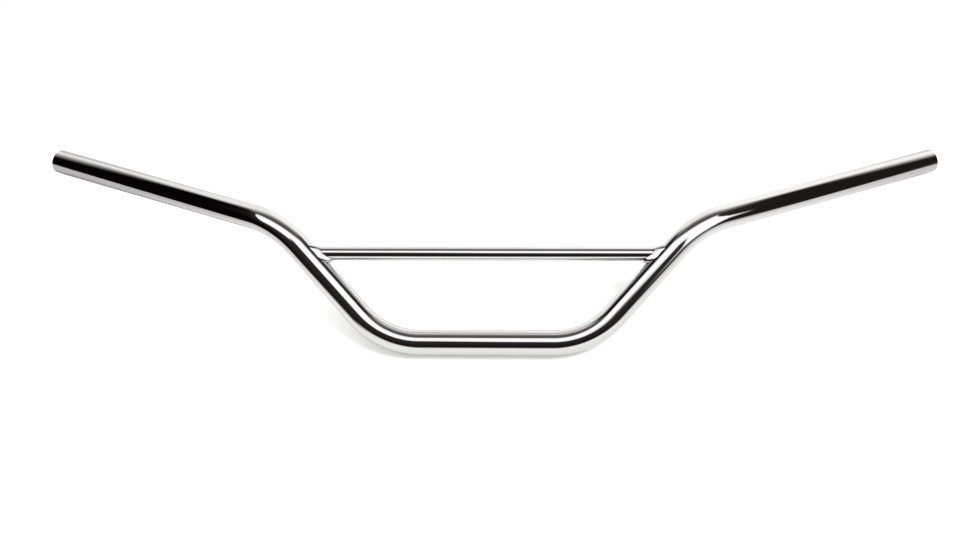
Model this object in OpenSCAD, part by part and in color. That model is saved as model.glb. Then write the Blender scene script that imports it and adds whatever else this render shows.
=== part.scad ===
// Cross-braced motorcycle handlebar: one bent steel tube with a straight brace welded across its two legs.
// X runs along the clamp seat, Y points back to the rider and Z up the rise. The origin is the middle of the
// clamp seat, on the tube's axis. The tube is laid out as a tube bender makes it: feed, turn and bend.

/* [Main tube] */
// Outside diameter of the tube, the common 7/8 inch handlebar size
tube_d = 22.2; // [19:0.1:28.6]
// Wall thickness of the tube
tube_wall = 2; // [1.5:0.1:3]
// How much smaller in radius the bends are drawn than the straights, so that the two never share a surface.
// It isn't a size of the real tube.
bend_gap = 0.02; // [0.01:0.01:0.05]
// Width of the 45 degree break on both edges of an open end
end_break = 0.5; // [0.2:0.1:0.8]

/* [Bends] */
// Length of the straight clamp seat between the two lower bends
seat_l = 115; // [90:1:150]
// Centreline radius of the lower bends
low_bend_r = 72; // [50:1:90]
// Angle of the lower bends, from the clamp seat up into a leg
low_bend_a = 48; // [40:1:60]
// Straight length of a leg between its two bends
leg_l = 80; // [70:1:140]
// Turn of the tube about a leg between its bends: 180 bends back level, 90 straight back to the rider
bend_turn = 142; // [120:1:180]
// Centreline radius of the upper bends
high_bend_r = 76; // [50:1:90]
// Angle of the upper bends, from a leg into a grip end
high_bend_a = 38; // [25:1:50]
// Straight length of a grip end, from the upper bend to the open end
grip_l = 235; // [200:1:260]

/* [Crossbar] */
// Diameter of the crossbar, half an inch
crossbar_d = 12.7; // [10:0.1:14]
// Height of the crossbar's axis above the clamp seat's axis
crossbar_h = 77; // [70:0.5:80]

/* [Welds] */
// How far the fillet weld reaches along the crossbar
weld_reach = 4.5; // [3:0.1:6]
// How far it rises over the tube, out from the crossbar's surface
weld_rise = 1.8; // [1.5:0.1:3]
// How much further it goes both ways at its upper and lower front, where its face is flatter
weld_shoulder = 1.6; // [0:0.1:2.5]
// How far the face of the weld bulges out from a flat fillet
weld_crown = 0.2; // [0:0.1:0.5]

/* [Hidden] */
$fn = 96;
tube_r = tube_d / 2;
bore_r = tube_r - tube_wall;
crossbar_r = crossbar_d / 2;
// height of a leg's axis where the lower bend ends, and where the crossbar's axis meets it
leg_foot_x = seat_l / 2 + low_bend_r * sin(low_bend_a);
leg_foot_z = low_bend_r * (1 - cos(low_bend_a));
joint_x = leg_foot_x + (crossbar_h - leg_foot_z) / tan(low_bend_a);
// how far a straight stretch laps over the start of a bend, so that the two join inside each other
lap = 0.1;
// points of a weld's ring round the crossbar, and of its face from toe to toe
weld_ring_points = 48;
weld_face_points = 5;

// A straight stretch of round bar along +Z, between two bends. Children start at its far end.
module straight(r, l) {
    translate([0, 0, -lap]) cylinder(r = r, h = l + 2 * lap);
    translate([0, 0, l]) children();
}

// Places children at the end of a bend that starts along +Z and turns towards +X.
module past_bend(bend_r, a) {
    translate([bend_r, 0, 0]) rotate([0, a, 0]) translate([-bend_r, 0, 0]) children();
}

// A bend of round bar that starts along +Z and turns towards +X. Children start at its far end.
module bend(r, bend_r, a) {
    translate([bend_r, 0, 0]) rotate([90, 0, 180]) rotate_extrude(angle = a)
        translate([bend_r, 0]) circle(r - bend_gap);
    past_bend(bend_r, a) children();
}

// Places children at one end of the clamp seat, with +Z along the tube and +X up the rise.
module seat_end(side) {
    mirror([side, 0, 0]) translate([seat_l / 2, 0, 0]) rotate([0, -90, 180]) children();
}

// A grip end as a round bar along +Z whose radius changes by step over its last end_break, and that then runs
// on past the open end by over at the same slope.
module grip_end(r, step, over) {
    slope = step / end_break;
    tip_r = r + slope * (end_break + over);
    rotate_extrude()
        polygon([[0, -lap], [r, -lap], [r, grip_l - end_break], [tip_r, grip_l + over], [0, grip_l + over]]);
}

// The bent bar at radius r, solid, from one upper bend to the other. Children are its two grip ends.
module bent_bar(r) {
    rotate([0, 90, 0]) cylinder(r = r, h = seat_l + 2 * lap, center = true);
    for (side = [0, 1])
        seat_end(side)
            bend(r, low_bend_r, low_bend_a)
            straight(r, leg_l)
            rotate([0, 0, -bend_turn])
            bend(r, high_bend_r, high_bend_a)
            children();
}

// A leg's straight stretch as a plain round bar, to cope the crossbar against.
module leg_bar(side) {
    seat_end(side) past_bend(low_bend_r, low_bend_a) cylinder(r = tube_r, h = leg_l);
}

// The tube that carries the grips and sits in the clamps, open at both ends.
module main_tube() {
    color("gainsboro")
        difference() {
            bent_bar(tube_r) grip_end(tube_r, -end_break, 0);
            bent_bar(bore_r) grip_end(bore_r, end_break, end_break);
        }
}

// The straight brace, its ends coped to saddle the legs.
module crossbar() {
    color("silver")
        difference() {
            translate([0, 0, crossbar_h]) rotate([0, 90, 0])
                cylinder(r = crossbar_r, h = 2 * joint_x, center = true);
            for (side = [0, 1]) leg_bar(side);
        }
}

// X of the right leg's inner surface on a line along X, at depth y and at height dz above the crossbar's axis.
function leg_surface_x(y, dz) =
    joint_x + (dz * cos(low_bend_a) - sqrt(tube_r * tube_r - y * y)) / sin(low_bend_a);

// A point on the leg, at distance r from the crossbar's axis and at angle a round it.
function on_leg(r, a) = [leg_surface_x(r * cos(a), r * sin(a)), r * cos(a), crossbar_h + r * sin(a)];

// How much further the weld goes both ways at angle a. Its front half is the half with the shoulders.
function weld_spread(a) = cos(a) < 0 ? weld_shoulder * pow(sin(2 * a), 2) : 0;

// The weld's cross-section at angle a: its root in the corner, then its crowned face from toe to toe.
function weld_section(a) =
    let (root = on_leg(crossbar_r, a),
         brace_toe = root - [weld_reach + weld_spread(a), 0, 0],
         leg_toe = on_leg(crossbar_r + weld_rise + weld_spread(a), a),
         middle = (brace_toe + leg_toe) / 2,
         out = (middle - root) / norm(middle - root))
    concat([root], [for (i = [0 : weld_face_points - 1])
        let (t = i / (weld_face_points - 1))
        brace_toe + t * (leg_toe - brace_toe) + 4 * t * (1 - t) * weld_crown * out]);

// The fillet weld round the right end of the crossbar, as a closed ring of cross-sections.
module weld_ring() {
    rows = weld_ring_points;
    cols = weld_face_points + 1;
    points = [for (i = [0 : rows - 1]) each weld_section(360 * i / rows)];
    faces = [for (i = [0 : rows - 1], j = [0 : cols - 1])
        let (next_i = (i + 1) % rows, next_j = (j + 1) % cols)
        each [[i * cols + j, i * cols + next_j, next_i * cols + next_j],
              [i * cols + j, next_i * cols + next_j, next_i * cols + j]]];
    polyhedron(points, faces);
}

module left_weld() {
    color("darkgray") mirror([1, 0, 0]) weld_ring();
}

module right_weld() {
    color("darkgray") weld_ring();
}

main_tube();
crossbar();
left_weld();
right_weld();
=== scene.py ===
# %% [markdown]
# # A cross-braced motorcycle handlebar
# The real thing is one steel tube, bent in four places, with a thin round brace welded across its two legs.
# It is most likely welded first, then polished and chrome plated as a whole: all of it is a curved mirror.
# A mirror shows two things: how even its curves are, and what stands round it. So the tube is drawn with the
# same feeds, turns and bends as on a tube bender, and as much care goes into the studio as into the metal.

# %% Load the frame
import math

import bpy
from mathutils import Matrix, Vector


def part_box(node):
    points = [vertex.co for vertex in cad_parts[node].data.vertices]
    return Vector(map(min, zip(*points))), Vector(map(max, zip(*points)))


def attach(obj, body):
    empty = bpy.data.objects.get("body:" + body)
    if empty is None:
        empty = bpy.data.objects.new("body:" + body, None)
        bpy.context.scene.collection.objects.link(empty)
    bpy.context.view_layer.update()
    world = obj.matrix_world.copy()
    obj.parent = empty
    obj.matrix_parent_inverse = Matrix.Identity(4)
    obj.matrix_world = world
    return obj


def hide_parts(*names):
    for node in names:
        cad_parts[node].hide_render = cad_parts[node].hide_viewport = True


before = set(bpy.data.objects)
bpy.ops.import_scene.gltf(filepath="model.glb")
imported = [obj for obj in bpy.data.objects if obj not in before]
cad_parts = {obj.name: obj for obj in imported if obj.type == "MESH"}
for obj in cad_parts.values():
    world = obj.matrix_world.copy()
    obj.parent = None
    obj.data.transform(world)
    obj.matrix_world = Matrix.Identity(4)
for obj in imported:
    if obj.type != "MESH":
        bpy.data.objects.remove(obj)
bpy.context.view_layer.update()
print("CAD nodes:", sorted(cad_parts))

# %% [markdown]
# ## Sizes
# The frame already holds the tube and the brace, so their radii and the height of the brace are read from
# the boxes of those two nodes. A box can't tell how a tube is bent, so the bender's own settings are listed
# here, in metres and degrees, in the order in which the tube is fed through the machine.

# %% Sizes from the frame, and the bender's settings
tube_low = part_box("main_tube")[0]
brace_low, brace_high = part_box("crossbar")
tube_radius = -tube_low.z
brace_radius = (brace_high.z - brace_low.z) / 2
brace_height = (brace_high.z + brace_low.z) / 2

seat_length = 0.115
lower_bend_radius = 0.072
lower_bend_angle = math.radians(48)
leg_length = 0.080
turn_between_bends = math.radians(142)
upper_bend_radius = 0.076
upper_bend_angle = math.radians(38)
grip_length = 0.235
tube_wall = 0.002
rim_break = 0.0005
print(f"tube {tube_radius * 2000:.1f} mm, brace {brace_radius * 2000:.1f} mm at {brace_height * 1000:.1f} mm")

# %% [markdown]
# ## Directions along the right half
# The bar is the same on both sides, so only the right half is worked out. A stretch of tube has a direction,
# and a bend also has an inward direction, from the tube's axis to the centre of the bend. The lower bend
# turns the tube up. The tube is then turned about its own axis, and the upper bend takes it outwards again
# and back towards the rider.

# %% Directions and the points where bends begin and end
right = Vector((1, 0, 0))
back = Vector((0, 1, 0))
up = Vector((0, 0, 1))


def after_bend(direction, inward, angle):
    """The direction of the tube after a bend, and the inward direction there."""
    along = math.cos(angle) * direction + math.sin(angle) * inward
    return along, math.cos(angle) * inward - math.sin(angle) * direction


def bend_end(start, direction, inward, radius, angle):
    """The point on the tube's axis where a bend ends."""
    return start + radius * (math.sin(angle) * direction + (1 - math.cos(angle)) * inward)


seat_end = right * seat_length / 2
leg_direction, leg_inward = after_bend(right, up, lower_bend_angle)
leg_start = bend_end(seat_end, right, up, lower_bend_radius, lower_bend_angle)
leg_end = leg_start + leg_direction * leg_length
grip_inward = math.cos(turn_between_bends) * leg_inward + math.sin(turn_between_bends) * back
grip_direction = after_bend(leg_direction, grip_inward, upper_bend_angle)[0]
grip_start = bend_end(leg_end, leg_direction, grip_inward, upper_bend_radius, upper_bend_angle)
tip = grip_start + grip_direction * grip_length
print("right tip at", [round(c * 1000, 1) for c in tip], "mm")

# %% [markdown]
# ## Working in edit mode
# Blender's operators act on whatever is selected, and loading the frame leaves its nodes selected. So each
# piece starts with nothing selected, and edges are picked by where they are. Two moves make the whole tube:
# an extrusion for a straight stretch, and a spin for a bend.

# %% Helpers for modelling
bend_step = math.radians(1)


def start_fresh():
    """Leaves edit mode and deselects everything."""
    if bpy.context.mode != "OBJECT":
        bpy.ops.object.mode_set(mode="OBJECT")
    bpy.ops.object.select_all(action="DESELECT")


def take(name, shape):
    """Names the primitive that was just added, and puts its place into its mesh."""
    piece = bpy.context.active_object
    piece.name = name
    piece.data.name = name
    bpy.ops.object.transform_apply(location=True, rotation=True, scale=True)
    print(f"{name}: starts as {shape}")
    return piece


def feed(direction, length):
    """Extrudes the selected ring along a straight stretch."""
    bpy.ops.mesh.extrude_region_move(TRANSFORM_OT_translate={"value": direction * length})


def bend(start, direction, inward, radius, angle):
    """Spins the selected ring round the centre of a bend."""
    bpy.ops.mesh.spin(
        steps=round(angle / bend_step),
        angle=angle,
        center=start + inward * radius,
        axis=inward.cross(direction),
    )


def apply_modifiers(piece):
    """Applies the modifiers of a piece, from the top down."""
    start_fresh()
    bpy.context.view_layer.objects.active = piece
    piece.select_set(True)
    for modifier in list(piece.modifiers):
        bpy.ops.object.modifier_apply(modifier=modifier.name)


def select_edges(piece, wanted):
    """Goes into edit mode with only the edges that pass the test selected."""
    bpy.ops.object.mode_set(mode="EDIT")
    bpy.ops.mesh.select_mode(type="EDGE")
    bpy.ops.mesh.select_all(action="DESELECT")
    bpy.ops.object.mode_set(mode="OBJECT")
    chosen = [edge for edge in piece.data.edges if wanted(edge)]
    for edge in chosen:
        edge.select = True
    bpy.ops.object.mode_set(mode="EDIT")
    print(f"{piece.name}: {len(chosen)} edges selected")


def finish_shape(piece):
    """Smooths a piece up to its real edges, fixes it to the frame and prints its size."""
    start_fresh()
    bpy.context.view_layer.objects.active = piece
    piece.select_set(True)
    bpy.ops.object.shade_smooth_by_angle(angle=math.radians(40))
    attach(piece, "root")
    print(f"{piece.name}: {len(piece.data.polygons)} faces")


# %% [markdown]
# ## The main tube
# One length of seamless tube carries everything: its middle sits in the steering clamps and its two ends
# carry the grips. It could be drawn as a curve with a round bevel, but a curve's rings crowd together or
# spread out at a bend. A ring that is extruded and spun keeps exactly the same round section everywhere,
# which is what the reflections need. Half is drawn from the middle of the clamp seat to the open end, then
# mirrored.

# %% Draw the right half of the tube
tube_sides = 128

start_fresh()
bpy.ops.mesh.primitive_circle_add(
    vertices=tube_sides,
    radius=tube_radius,
    rotation=(0, math.radians(90), 0),
)
main_tube = take("bent_tube", "a ring in the middle of the clamp seat")
bpy.ops.object.mode_set(mode="EDIT")
bpy.ops.mesh.select_all(action="SELECT")
feed(right, seat_length / 2)
bend(seat_end, right, up, lower_bend_radius, lower_bend_angle)
feed(leg_direction, leg_length)
bend(leg_end, leg_direction, grip_inward, upper_bend_radius, upper_bend_angle)
feed(grip_direction, grip_length)
bpy.ops.object.mode_set(mode="OBJECT")
print("half of the tube:", len(main_tube.data.polygons), "faces")

# %% Mirror it
mirror = main_tube.modifiers.new("other half", "MIRROR")
mirror.use_axis[0] = True
mirror.use_clip = True
mirror.merge_threshold = 1e-6
apply_modifiers(main_tube)

bpy.ops.object.mode_set(mode="EDIT")
bpy.ops.mesh.select_all(action="SELECT")
bpy.ops.mesh.remove_doubles(threshold=1e-6)
bpy.ops.mesh.normals_make_consistent(inside=False)
bpy.ops.object.mode_set(mode="OBJECT")
print("whole tube:", len(main_tube.data.polygons), "faces")

# %% [markdown]
# The wall goes inwards from the outside diameter, because the outside is the size that clamps and grips
# fit. Its inner faces take the second material of the tube, bare steel, as plating hardly reaches into a
# bore.

# %% Give the tube its wall
wall = main_tube.modifiers.new("wall", "SOLIDIFY")
wall.thickness = tube_wall
wall.offset = -1
wall.use_even_offset = True
wall.material_offset = 1
apply_modifiers(main_tube)
print("with its wall:", len(main_tube.data.polygons), "faces")

# %% [markdown]
# The saw cut at each end has both of its edges broken, as on any tube that a hand goes near. The round
# edges are told from the short ones across the wall by their length.


# %% Break the edges of the open ends
def on_end_face(point):
    """Whether a point lies in the plane of an open end."""
    on_right = Vector((abs(point.x), point.y, point.z))
    return abs((on_right - tip).dot(grip_direction)) < 1e-5


def is_rim(edge):
    """Whether an edge runs round an open end, on the outside or on the bore."""
    first, second = (main_tube.data.vertices[v].co for v in edge.vertices)
    return on_end_face(first) and on_end_face(second) and (first - second).length < tube_wall / 2


select_edges(main_tube, is_rim)
bpy.ops.mesh.bevel(offset=rim_break, segments=3, affect="EDGES")
finish_shape(main_tube)

# %% [markdown]
# ## The crossbar
# A solid round brace ties the two legs together, so that the bar doesn't spread in a hard landing. Its ends
# are coped, which means cut hollow so that they saddle the round legs. A bar that is a little too long is cut
# by a plain cylinder that lies where each leg is, which is how a hole saw copes it in the shop.


# %% Draw the crossbar and cope its ends
brace_sides = 96


def straight_rod(name, centre, direction, radius, length, sides):
    """A plain rod round a centre, to be cut or to cut with."""
    start_fresh()
    bpy.ops.mesh.primitive_cylinder_add(
        vertices=sides,
        radius=radius,
        depth=length,
        location=centre,
        rotation=direction.to_track_quat("Z", "Y").to_euler(),
    )
    return take(name, "a rod")


def flipped(point):
    """The same point on the left half."""
    return Vector((-point.x, point.y, point.z))


joint = leg_start + leg_direction * (brace_height - leg_start.z) / leg_direction.z
brace_middle = up * brace_height
crossbar = straight_rod("brace_rod", brace_middle, right, brace_radius, joint.x * 2, brace_sides)
for side in (joint, flipped(joint)):
    leg_way = leg_direction if side.x > 0 else flipped(leg_direction)
    cutter = straight_rod("hole_saw", side, leg_way, tube_radius, leg_length, tube_sides)
    cope = crossbar.modifiers.new("cope", "BOOLEAN")
    cope.operation = "DIFFERENCE"
    cope.object = cutter
    apply_modifiers(crossbar)
    bpy.data.objects.remove(cutter)
finish_shape(crossbar)

# %% [markdown]
# ## The welds
# A fillet weld runs all the way round each end of the brace. Such a weld is laid with a torch in small
# overlapping pools, and is most likely dressed before plating, so that only a soft ripple is left. It could
# be sculpted, but its section changes slowly, so it is drawn as a collar: a ring on the brace is pulled out
# over the face of the fillet and folded back under it. Each point of the collar then spreads a little at the
# upper and lower front, which makes the front flatter, and slides along the brace onto the round leg. Those
# last steps are sums for each point, so they are done in code.

# %% Draw the collar
weld_reach = 0.0045
weld_rise = 0.0018
weld_shoulder = 0.0016
weld_crown = 0.0002
weld_rows = 12
weld_sides = 208
sunk = 0.0003


def fillet_face(t):
    """Where the fillet's face is at t, from brace to leg: back from the leg, and out from the brace."""
    crown = 4 * t * (1 - t) * weld_crown / math.hypot(weld_reach, weld_rise)
    return weld_reach * (1 - t) + crown * weld_rise, weld_rise * t + crown * weld_reach


fillet_section = [(weld_reach, -sunk)]
fillet_section += [fillet_face(row / weld_rows) for row in range(weld_rows + 1)]
fillet_section += [(-sunk, weld_rise), (-sunk, -sunk)]

start_fresh()
bpy.ops.mesh.primitive_circle_add(
    vertices=weld_sides,
    radius=brace_radius - sunk,
    location=brace_middle,
    rotation=(0, math.radians(90), 0),
)
right_weld = take("right_fillet", "a ring round the brace")
bpy.ops.object.mode_set(mode="EDIT")
bpy.ops.mesh.select_all(action="SELECT")
bpy.ops.transform.translate(value=right * -fillet_section[0][0])
for (near, inner), (far, outer) in zip(fillet_section, fillet_section[1:] + fillet_section[:1]):
    grow = (brace_radius + outer) / (brace_radius + inner)
    feed(right, near - far)
    bpy.ops.transform.resize(value=(1, grow, grow), center_override=brace_middle)
bpy.ops.mesh.select_all(action="SELECT")
bpy.ops.mesh.remove_doubles(threshold=1e-6)
bpy.ops.mesh.normals_make_consistent(inside=False)
bpy.ops.object.mode_set(mode="OBJECT")
print("collar:", len(right_weld.data.polygons), "faces")

# %% Spread the collar, slide it onto the leg, and leave a ripple in it
weld_pools = 26
ripple_depth = 0.00005


def leg_side(y, z):
    """X of the right leg's inner surface, at a depth and a height."""
    over = (z - brace_height) * leg_direction.x
    return joint.x + (over - math.sqrt(tube_radius**2 - y**2)) / leg_direction.z


def ripple(point):
    """How far a point of the collar sinks between two pools, along the brace."""
    across = point.y, point.z - brace_height
    out = math.hypot(*across) - brace_radius
    fade = math.sin(math.pi * min(1, max(0, out / weld_rise)))
    swirl = math.atan2(*across) * weld_pools + 2 * out / weld_rise
    return ripple_depth * fade * math.sin(swirl)


def spread(point):
    """The same point where the dressed weld spreads, at the upper and lower front of the brace."""
    across = Vector((0, point.y, point.z - brace_height))
    slant = 2 * min(0, across.y) * across.z / across.length_squared
    further = weld_shoulder * slant**2
    out = (across.length - brace_radius) * (1 + further / weld_rise)
    moved = brace_middle + across.normalized() * (brace_radius + out)
    moved.x = point.x * (1 + further / weld_reach)
    return moved


for vertex in right_weld.data.vertices:
    sunk_by = ripple(vertex.co)
    place = spread(vertex.co)
    place.x += leg_side(place.y, place.z) + sunk_by
    vertex.co = place
finish_shape(right_weld)

# %% Copy it to the left leg
start_fresh()
right_weld.select_set(True)
bpy.context.view_layer.objects.active = right_weld
bpy.ops.object.duplicate()
left_weld = bpy.context.active_object
left_weld.name = "left_fillet"
left_weld.data.name = "left_fillet"
bpy.ops.object.mode_set(mode="EDIT")
bpy.ops.mesh.select_all(action="SELECT")
bpy.ops.transform.resize(value=(-1, 1, 1), center_override=(0, 0, 0))
bpy.ops.mesh.normals_make_consistent(inside=False)
finish_shape(left_weld)

# %% Hide the CAD nodes that the pieces stand in for
for piece, node, finish in (
    (main_tube, "main_tube", "tube_chrome"),
    (crossbar, "crossbar", "crossbar_chrome"),
    (left_weld, "left_weld", "weld_chrome"),
    (right_weld, "right_weld", "weld_chrome"),
):
    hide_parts(node)

# %% [markdown]
# ## Writing materials as sums
# A material is a small program of nodes. Written out node by node it is long and hard to read, so a wire
# from one node to the next is wrapped in a class whose operators add the Math nodes. Any other node comes
# from one method, which sets the node's settings before it fills its sockets.


# %% Wires and node trees
class Wire:
    """A value that runs from one node to the next. Sums on it add Math nodes."""

    def __init__(self, tree, socket):
        self.tree = tree
        self.socket = socket

    def __add__(self, other):
        return self.tree.math("ADD", self, other)

    def __sub__(self, other):
        return self.tree.math("SUBTRACT", self, other)

    def __rsub__(self, other):
        return self.tree.math("SUBTRACT", other, self)

    def __mul__(self, other):
        return self.tree.math("MULTIPLY", self, other)

    __radd__ = __add__
    __rmul__ = __mul__


class Tree:
    """The node tree of a material or of the studio."""

    def __init__(self, owner):
        owner.use_nodes = True
        self.nodes = owner.node_tree.nodes
        self.links = owner.node_tree.links
        self.nodes.clear()

    def node(self, kind, settings=None, sockets=None, out=0):
        """Adds a node, sets it up, fills its sockets, and returns the wire from one of its outputs."""
        made = self.nodes.new("ShaderNode" + kind)
        for name, value in (settings or {}).items():
            setattr(made, name, value)
        for name, value in (sockets or {}).items():
            if isinstance(value, Wire):
                self.links.new(value.socket, made.inputs[name])
            else:
                made.inputs[name].default_value = value
        return Wire(self, made.outputs[out]) if len(made.outputs) else None

    def math(self, operation, first, second=0.0):
        """A Math node on two values."""
        return self.node("Math", {"operation": operation}, {0: first, 1: second})

    def fade(self, value, start, end):
        """Goes smoothly from 0 at start to 1 at end."""
        settings = {"interpolation_type": "SMOOTHSTEP"}
        return self.node("MapRange", settings, {0: value, 1: start, 2: end})

    def blend(self, amount, first, second):
        """Goes from the first colour to the second as amount goes from 0 to 1."""
        settings = {"data_type": "RGBA"}
        return self.node("Mix", settings, {0: amount, 6: first, 7: second}, out=2)

    def noise(self, place, size, detail=2.0, stretch=(1, 1, 1)):
        """Smooth noise from 0 to 1, whose lumps are about size metres across."""
        scale = [1 / (size * part) for part in stretch]
        moved = self.node("Mapping", None, {"Vector": place, "Scale": scale})
        return self.node("TexNoise", None, {"Vector": moved, "Scale": 1.0, "Detail": detail})

    def place(self):
        """The place of a point on its piece, in metres."""
        return self.node("TexCoord", out="Object")


# %% [markdown]
# ## Chrome
# Decorative chrome is a hair-thin coat over nickel. It copies whatever lies below it, so its detail is that
# of the polished steel: long shallow waves left by the belt, a faint grain along its way, and here and
# there a slightly hazy patch where a cloth has wiped it. All of that is far too small to model, so it is
# done with bump and roughness. The waves are kept to roughly a tenth of a degree, because a mirror bends a
# reflection by twice as much.


# %% Chrome for the tube, the brace and the welds
def chrome(name, wave, wave_depth, haze, grain_depth):
    """Polished chrome plate with waves of a given length and depth, haze, and a fine grain."""
    material = bpy.data.materials.new(name)
    tree = Tree(material)
    place = tree.place()
    waves = tree.noise(place, wave, detail=1.0)
    grain = tree.noise(place, 0.0004, stretch=(12, 1, 1))
    cloth = tree.noise(place, 0.03, detail=3.0)
    hazy = tree.fade(cloth, 0.5, 0.75)
    specks = tree.fade(tree.noise(place, 0.0012), 0.7, 0.76)
    wavy = tree.node("Bump", None, {"Strength": 1.0, "Distance": wave_depth, "Height": waves})
    fine = tree.node("Bump", None, {"Distance": grain_depth, "Height": grain, "Normal": wavy})
    tint = tree.blend(hazy, (0.62, 0.62, 0.625, 1), (0.60, 0.605, 0.615, 1))
    shader = tree.node(
        "BsdfPrincipled",
        None,
        {
            "Base Color": tint,
            "Metallic": 1.0,
            "Roughness": haze * (0.5 + hazy) + specks * 0.05,
            "Normal": fine,
        },
    )
    tree.node("OutputMaterial", None, {"Surface": shader})
    return material


tube_chrome = chrome("polished_tube", 0.035, 0.00004, 0.02, 0.0000004)
brace_chrome = chrome("polished_brace", 0.030, 0.00003, 0.02, 0.0000004)
weld_chrome = chrome("polished_fillet", 0.002, 0.00006, 0.18, 0.000004)
print("chrome finishes:", tube_chrome.name, brace_chrome.name, weld_chrome.name)

# %% [markdown]
# ## The bore
# Plating reaches only a finger's width into an open tube. Behind that is the bare steel of the tube mill:
# grey, dull, drawn out in lines along the tube, and lightly browned. How deep a point is in the bore is its
# distance from the plane of the open end.


# %% Bare steel inside the tube
def bore_steel():
    """Dull steel that turns from grey to brown away from the open ends."""
    material = bpy.data.materials.new("bore_steel")
    tree = Tree(material)
    place = tree.place()
    on_right = tree.node("VectorMath", {"operation": "ABSOLUTE"}, {0: place})
    along = tree.node("VectorMath", {"operation": "DOT_PRODUCT"}, {0: on_right, 1: grip_direction}, out=1)
    depth = tip.dot(grip_direction) - along
    rust = tree.noise(place, 0.004, detail=6.0)
    lines = tree.noise(place, 0.0008, stretch=(20, 1, 1))
    browned = tree.fade(depth + rust * 0.02, 0.018, 0.045)
    plain = tree.blend(lines, (0.42, 0.42, 0.42, 1), (0.56, 0.56, 0.55, 1))
    brown = tree.blend(rust, (0.10, 0.06, 0.04, 1), (0.25, 0.17, 0.12, 1))
    rough = tree.node("Bump", None, {"Distance": 0.00005, "Height": rust + lines})
    shader = tree.node(
        "BsdfPrincipled",
        None,
        {
            "Base Color": tree.blend(browned, plain, brown),
            "Metallic": 1 - browned * 0.6,
            "Roughness": 0.3 + browned * 0.4 + rust * 0.1,
            "Normal": rough,
        },
    )
    tree.node("OutputMaterial", None, {"Surface": shader})
    return material


# %% Put the finishes on the pieces
for piece, finishes in (
    (main_tube, (tube_chrome, bore_steel())),
    (crossbar, (brace_chrome,)),
    (left_weld, (weld_chrome,)),
    (right_weld, (weld_chrome,)),
):
    for finish in finishes:
        piece.data.materials.append(finish)
    print(piece.name, "wears", [finish.name for finish in finishes])

# %% [markdown]
# ## The camera
# It stands about a metre in front of the bar, hardly above the clamp seat, and looks slightly up along the
# rise of the bar. The turns are those of Blender's camera, which looks straight down when they are zero.

# %% Place the camera
camera_place = (0.0335, -1.0390, 0.0195)
camera_turns = (92.12, -0.17, 1.69)
focal_length = 44.08
sensor_width = 36

bpy.ops.object.camera_add(
    location=camera_place,
    rotation=[math.radians(turn) for turn in camera_turns],
)
camera = bpy.context.active_object
camera.data.sensor_width = sensor_width
camera.data.lens = focal_length
camera.data.clip_start = 0.01
bpy.context.scene.camera = camera

# %% [markdown]
# ## The table
# The bar lies on a white table top, tilted so that it rests on the clamp seat and on both tips. Only the top
# side of the table is there: seen from below it is clear, so that the bar can also be looked at from
# behind. A camera that is set for dark chrome burns out a white table. That is imitated with a little glow
# that only the camera sees, weak round the clamp seat, where the shadow lies, and strong towards the sides.

# %% Lay the table under the bar
table_width = 1.04
table_depth = 1.0
table_further = 0.1
bleach_middle = 0.12
bleach_sides = 0.85
bleach_grows = (0.06, 0.30)
# painted shade: the table's paint turns grey away from its middle, standing in for less light falling on its
# sides
side_shade_middle = 0.05
side_shade_from = (0.2, 0.5)
table_normal = Vector((0, -tip.z, tip.y)).normalized()
table_slope = Vector((0, tip.y, tip.z)).normalized()

start_fresh()
bpy.ops.mesh.primitive_plane_add(
    size=1,
    location=table_slope * table_further - table_normal * tube_radius,
    rotation=table_normal.to_track_quat("Z", "Y").to_euler(),
)
bpy.ops.transform.resize(value=(table_width, table_depth, 1), orient_type="LOCAL")
table = take("table", "a plane")


def table_paint():
    """Matt white from above, with painted shade that turns it grey at the sides, burnt out for the camera,
    and clear from below.
    """
    material = bpy.data.materials.new("table_paint")
    tree = Tree(material)
    fibre = tree.noise(tree.place(), 0.002, detail=4.0)
    x = tree.node("SeparateXYZ", None, {0: tree.place()})
    aside = tree.math("ABSOLUTE", x)
    # painted shade: grey towards the sides of the table, where less light falls, as the chrome mirrors it
    sides = tree.fade(tree.math("ABSOLUTE", x - side_shade_middle), *side_shade_from)
    lit = tree.blend(fibre, (0.81, 0.81, 0.80, 1), (0.83, 0.83, 0.82, 1))
    colour = tree.blend(sides, lit, (0.50, 0.48, 0.48, 1))
    bleach_here = bleach_middle + tree.fade(aside, *bleach_grows) * (bleach_sides - bleach_middle)
    paint = tree.node("BsdfDiffuse", None, {"Color": colour, "Roughness": 0.5})
    bleach = tree.node("Emission", None, {"Strength": tree.node("LightPath") * bleach_here})
    bright = tree.node("AddShader", None, {0: paint, 1: bleach})
    clear = tree.node("BsdfTransparent")
    below = tree.node("NewGeometry", out=6)
    surface = tree.node("MixShader", None, {0: below, 1: bright, 2: clear})
    tree.node("OutputMaterial", None, {"Surface": surface})
    return material


table.data.materials.append(table_paint())

# %% [markdown]
# ## The studio
# A chrome bar is lit by what it mirrors, and lamps alone would leave it black. So the studio itself is
# painted on the sky round the bar, by direction, in degrees: turn is measured to the right from the camera's
# side, height upwards, and over is the way over the top, from the camera's side to behind the bar. One wide
# soft box hangs in front, and the dents in its lower edge are the camera and the head behind it. The room
# beside and below it is dark, which draws the black lines that make chrome look like chrome. The ceiling
# over it is dim, and further round, behind and below, all is white.

# %% Colours of the studio, as the chrome shows them
mirror_share = 0.62
box_white = (0.98, 0.97, 0.99, 1)
room_front = (0.024, 0.019, 0.017, 1)
room_low = (0.009, 0.008, 0.008, 1)
room_left = (0.0022, 0.0012, 0.0015, 1)
room_right = (0.0115, 0.0090, 0.0087, 1)
dim_ceiling = (0.085, 0.075, 0.065, 1)
pale_ceiling = (0.84, 0.80, 0.83, 1)
pale_left = (0.80, 0.79, 0.765, 1)
pale_right = (0.91, 0.88, 0.86, 1)


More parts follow.
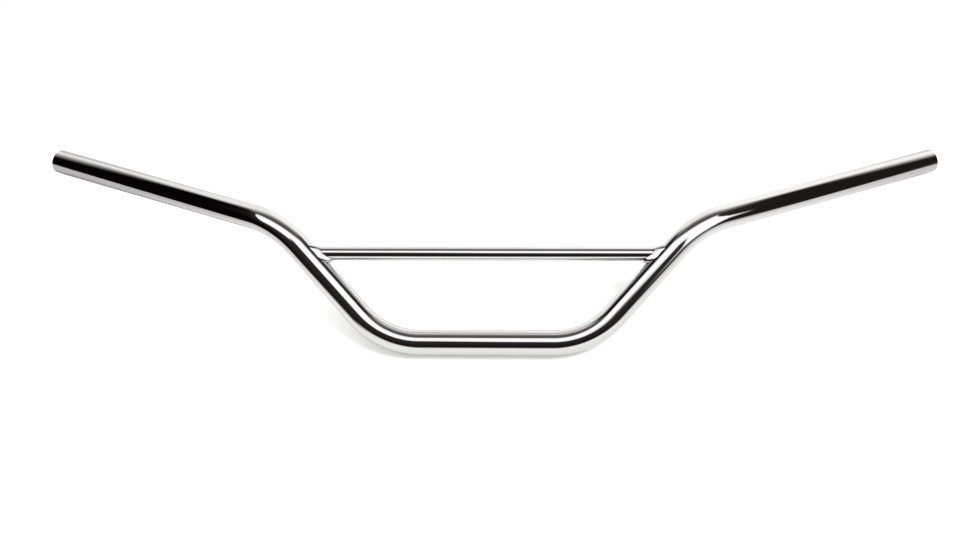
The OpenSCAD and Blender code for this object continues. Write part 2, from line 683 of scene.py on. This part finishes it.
# %% Paint the studio round the bar
def directions(tree):
    """Turn, height and over, in degrees, of the direction in which a ray leaves."""
    axes = tree.node("SeparateXYZ", None, {0: tree.node("TexCoord")})
    x, y, z = (Wire(tree, socket) for socket in axes.socket.node.outputs)
    turn = tree.math("ARCTAN2", x, 0 - y) * math.degrees(1)
    height = tree.math("ARCSINE", z) * math.degrees(1)
    over = tree.math("ARCTAN2", z, 0 - y) * math.degrees(1)
    return turn, height, over


def room_colour(tree, turn, height, over):
    """The dark room, its ceiling, and the white walls and floor further round."""
    floor_edge = 8
    aside = tree.math("ABSOLUTE", turn)
    front = tree.blend(tree.fade(height, -32, 0), room_low, room_front)
    sides = tree.blend(tree.fade(turn, -10, 60), room_left, room_right)
    room = tree.blend(tree.fade(aside, 48, 62), front, sides)
    ceiling = tree.blend(tree.fade(over, 60, 98), dim_ceiling, pale_ceiling)
    pale = tree.blend(tree.fade(turn, -60, 60), pale_left, pale_right)

    ceiling_from = height - 16 * tree.fade(aside, 50, 70)
    colour = tree.blend(tree.fade(ceiling_from, 36, 52), room, ceiling)
    floor_from = 52 - 15 * tree.fade(aside, 0, 50) - 6 * tree.fade(turn, 35, 65)
    colour = tree.blend(tree.fade(0 - height - floor_from, -floor_edge, floor_edge), colour, pale)
    walls_from = aside - 88 + 14 * tree.fade(height, 15, 45) + 4 * tree.fade(turn, 0, 60)
    walls_soft = 56 - 18 * tree.fade(turn, 0, 60)
    walls = tree.fade(tree.math("DIVIDE", walls_from, walls_soft), 0, 1)
    return tree.blend(walls, colour, pale)


def box_mask(tree, turn, height):
    """1 on the soft box, which the camera and a head hide in the middle and which hangs lower right."""
    camera_hides = 3 - 3 * tree.fade(tree.math("ABSOLUTE", turn), 12, 22)
    head_hides = 5 - 5 * tree.fade(tree.math("ABSOLUTE", turn + 9), 2, 9)
    left_rise = 2 - 2 * tree.fade(turn, -24, -8)
    bottom = 4 + camera_hides + head_hides + left_rise - 24 * tree.fade(turn, 14, 38)
    right_end = 58 - 18 * tree.fade(height, 0, 34)
    across = tree.fade(turn, -49, -46) * (1 - tree.fade(turn - right_end, -2, 2))
    return across * tree.fade(height - bottom, -4, 5) * (1 - tree.fade(height, 34, 46))


def studio(world, table_fill):
    """What mirrors see, what lights the matt table, and the white ground behind everything."""
    tree = Tree(world)
    turn, height, over = directions(tree)
    colour = tree.blend(box_mask(tree, turn, height), room_colour(tree, turn, height, over), box_white)
    mirrored = tree.node("Background", None, {"Color": colour, "Strength": 1 / mirror_share})
    fill = tree.node("Background", None, {"Color": (1, 1, 1, 1), "Strength": table_fill})
    ground = tree.node("Background", None, {"Color": (1, 1, 1, 1), "Strength": 1.0})
    to_camera = tree.node("LightPath")
    from_matt = Wire(tree, to_camera.socket.node.outputs["Is Diffuse Ray"])
    lit = tree.node("MixShader", None, {0: from_matt, 1: mirrored, 2: fill})
    seen = tree.node("MixShader", None, {0: to_camera, 1: lit, 2: ground})
    tree.node("OutputWorld", None, {"Surface": seen})
    world.cycles.sampling_method = "NONE"


bpy.context.scene.world = bpy.data.worlds.new("studio")
studio(bpy.context.scene.world, table_fill=1.03)
bpy.context.scene.view_settings.view_transform = "Standard"
print("studio painted")

# %% [markdown]
# A lamp that mirrors don't see adds light to matt surfaces only, from the right, so that the shadows on the
# table fall to the left of the bar.

# %% Light the table
lamp_place = (1.4, -2.2, 1.2)
lamp_aim = Vector((0, 0.05, 0.08))
lamp_size = 1.0
lamp_watts = 62

bpy.ops.object.light_add(type="AREA", location=lamp_place)
lamp = bpy.context.active_object
lamp.name = "table_lamp"
lamp.data.size = lamp_size
lamp.data.energy = lamp_watts
lamp.rotation_euler = (lamp_aim - lamp.location).to_track_quat("-Z", "Y").to_euler()
lamp.visible_glossy = False
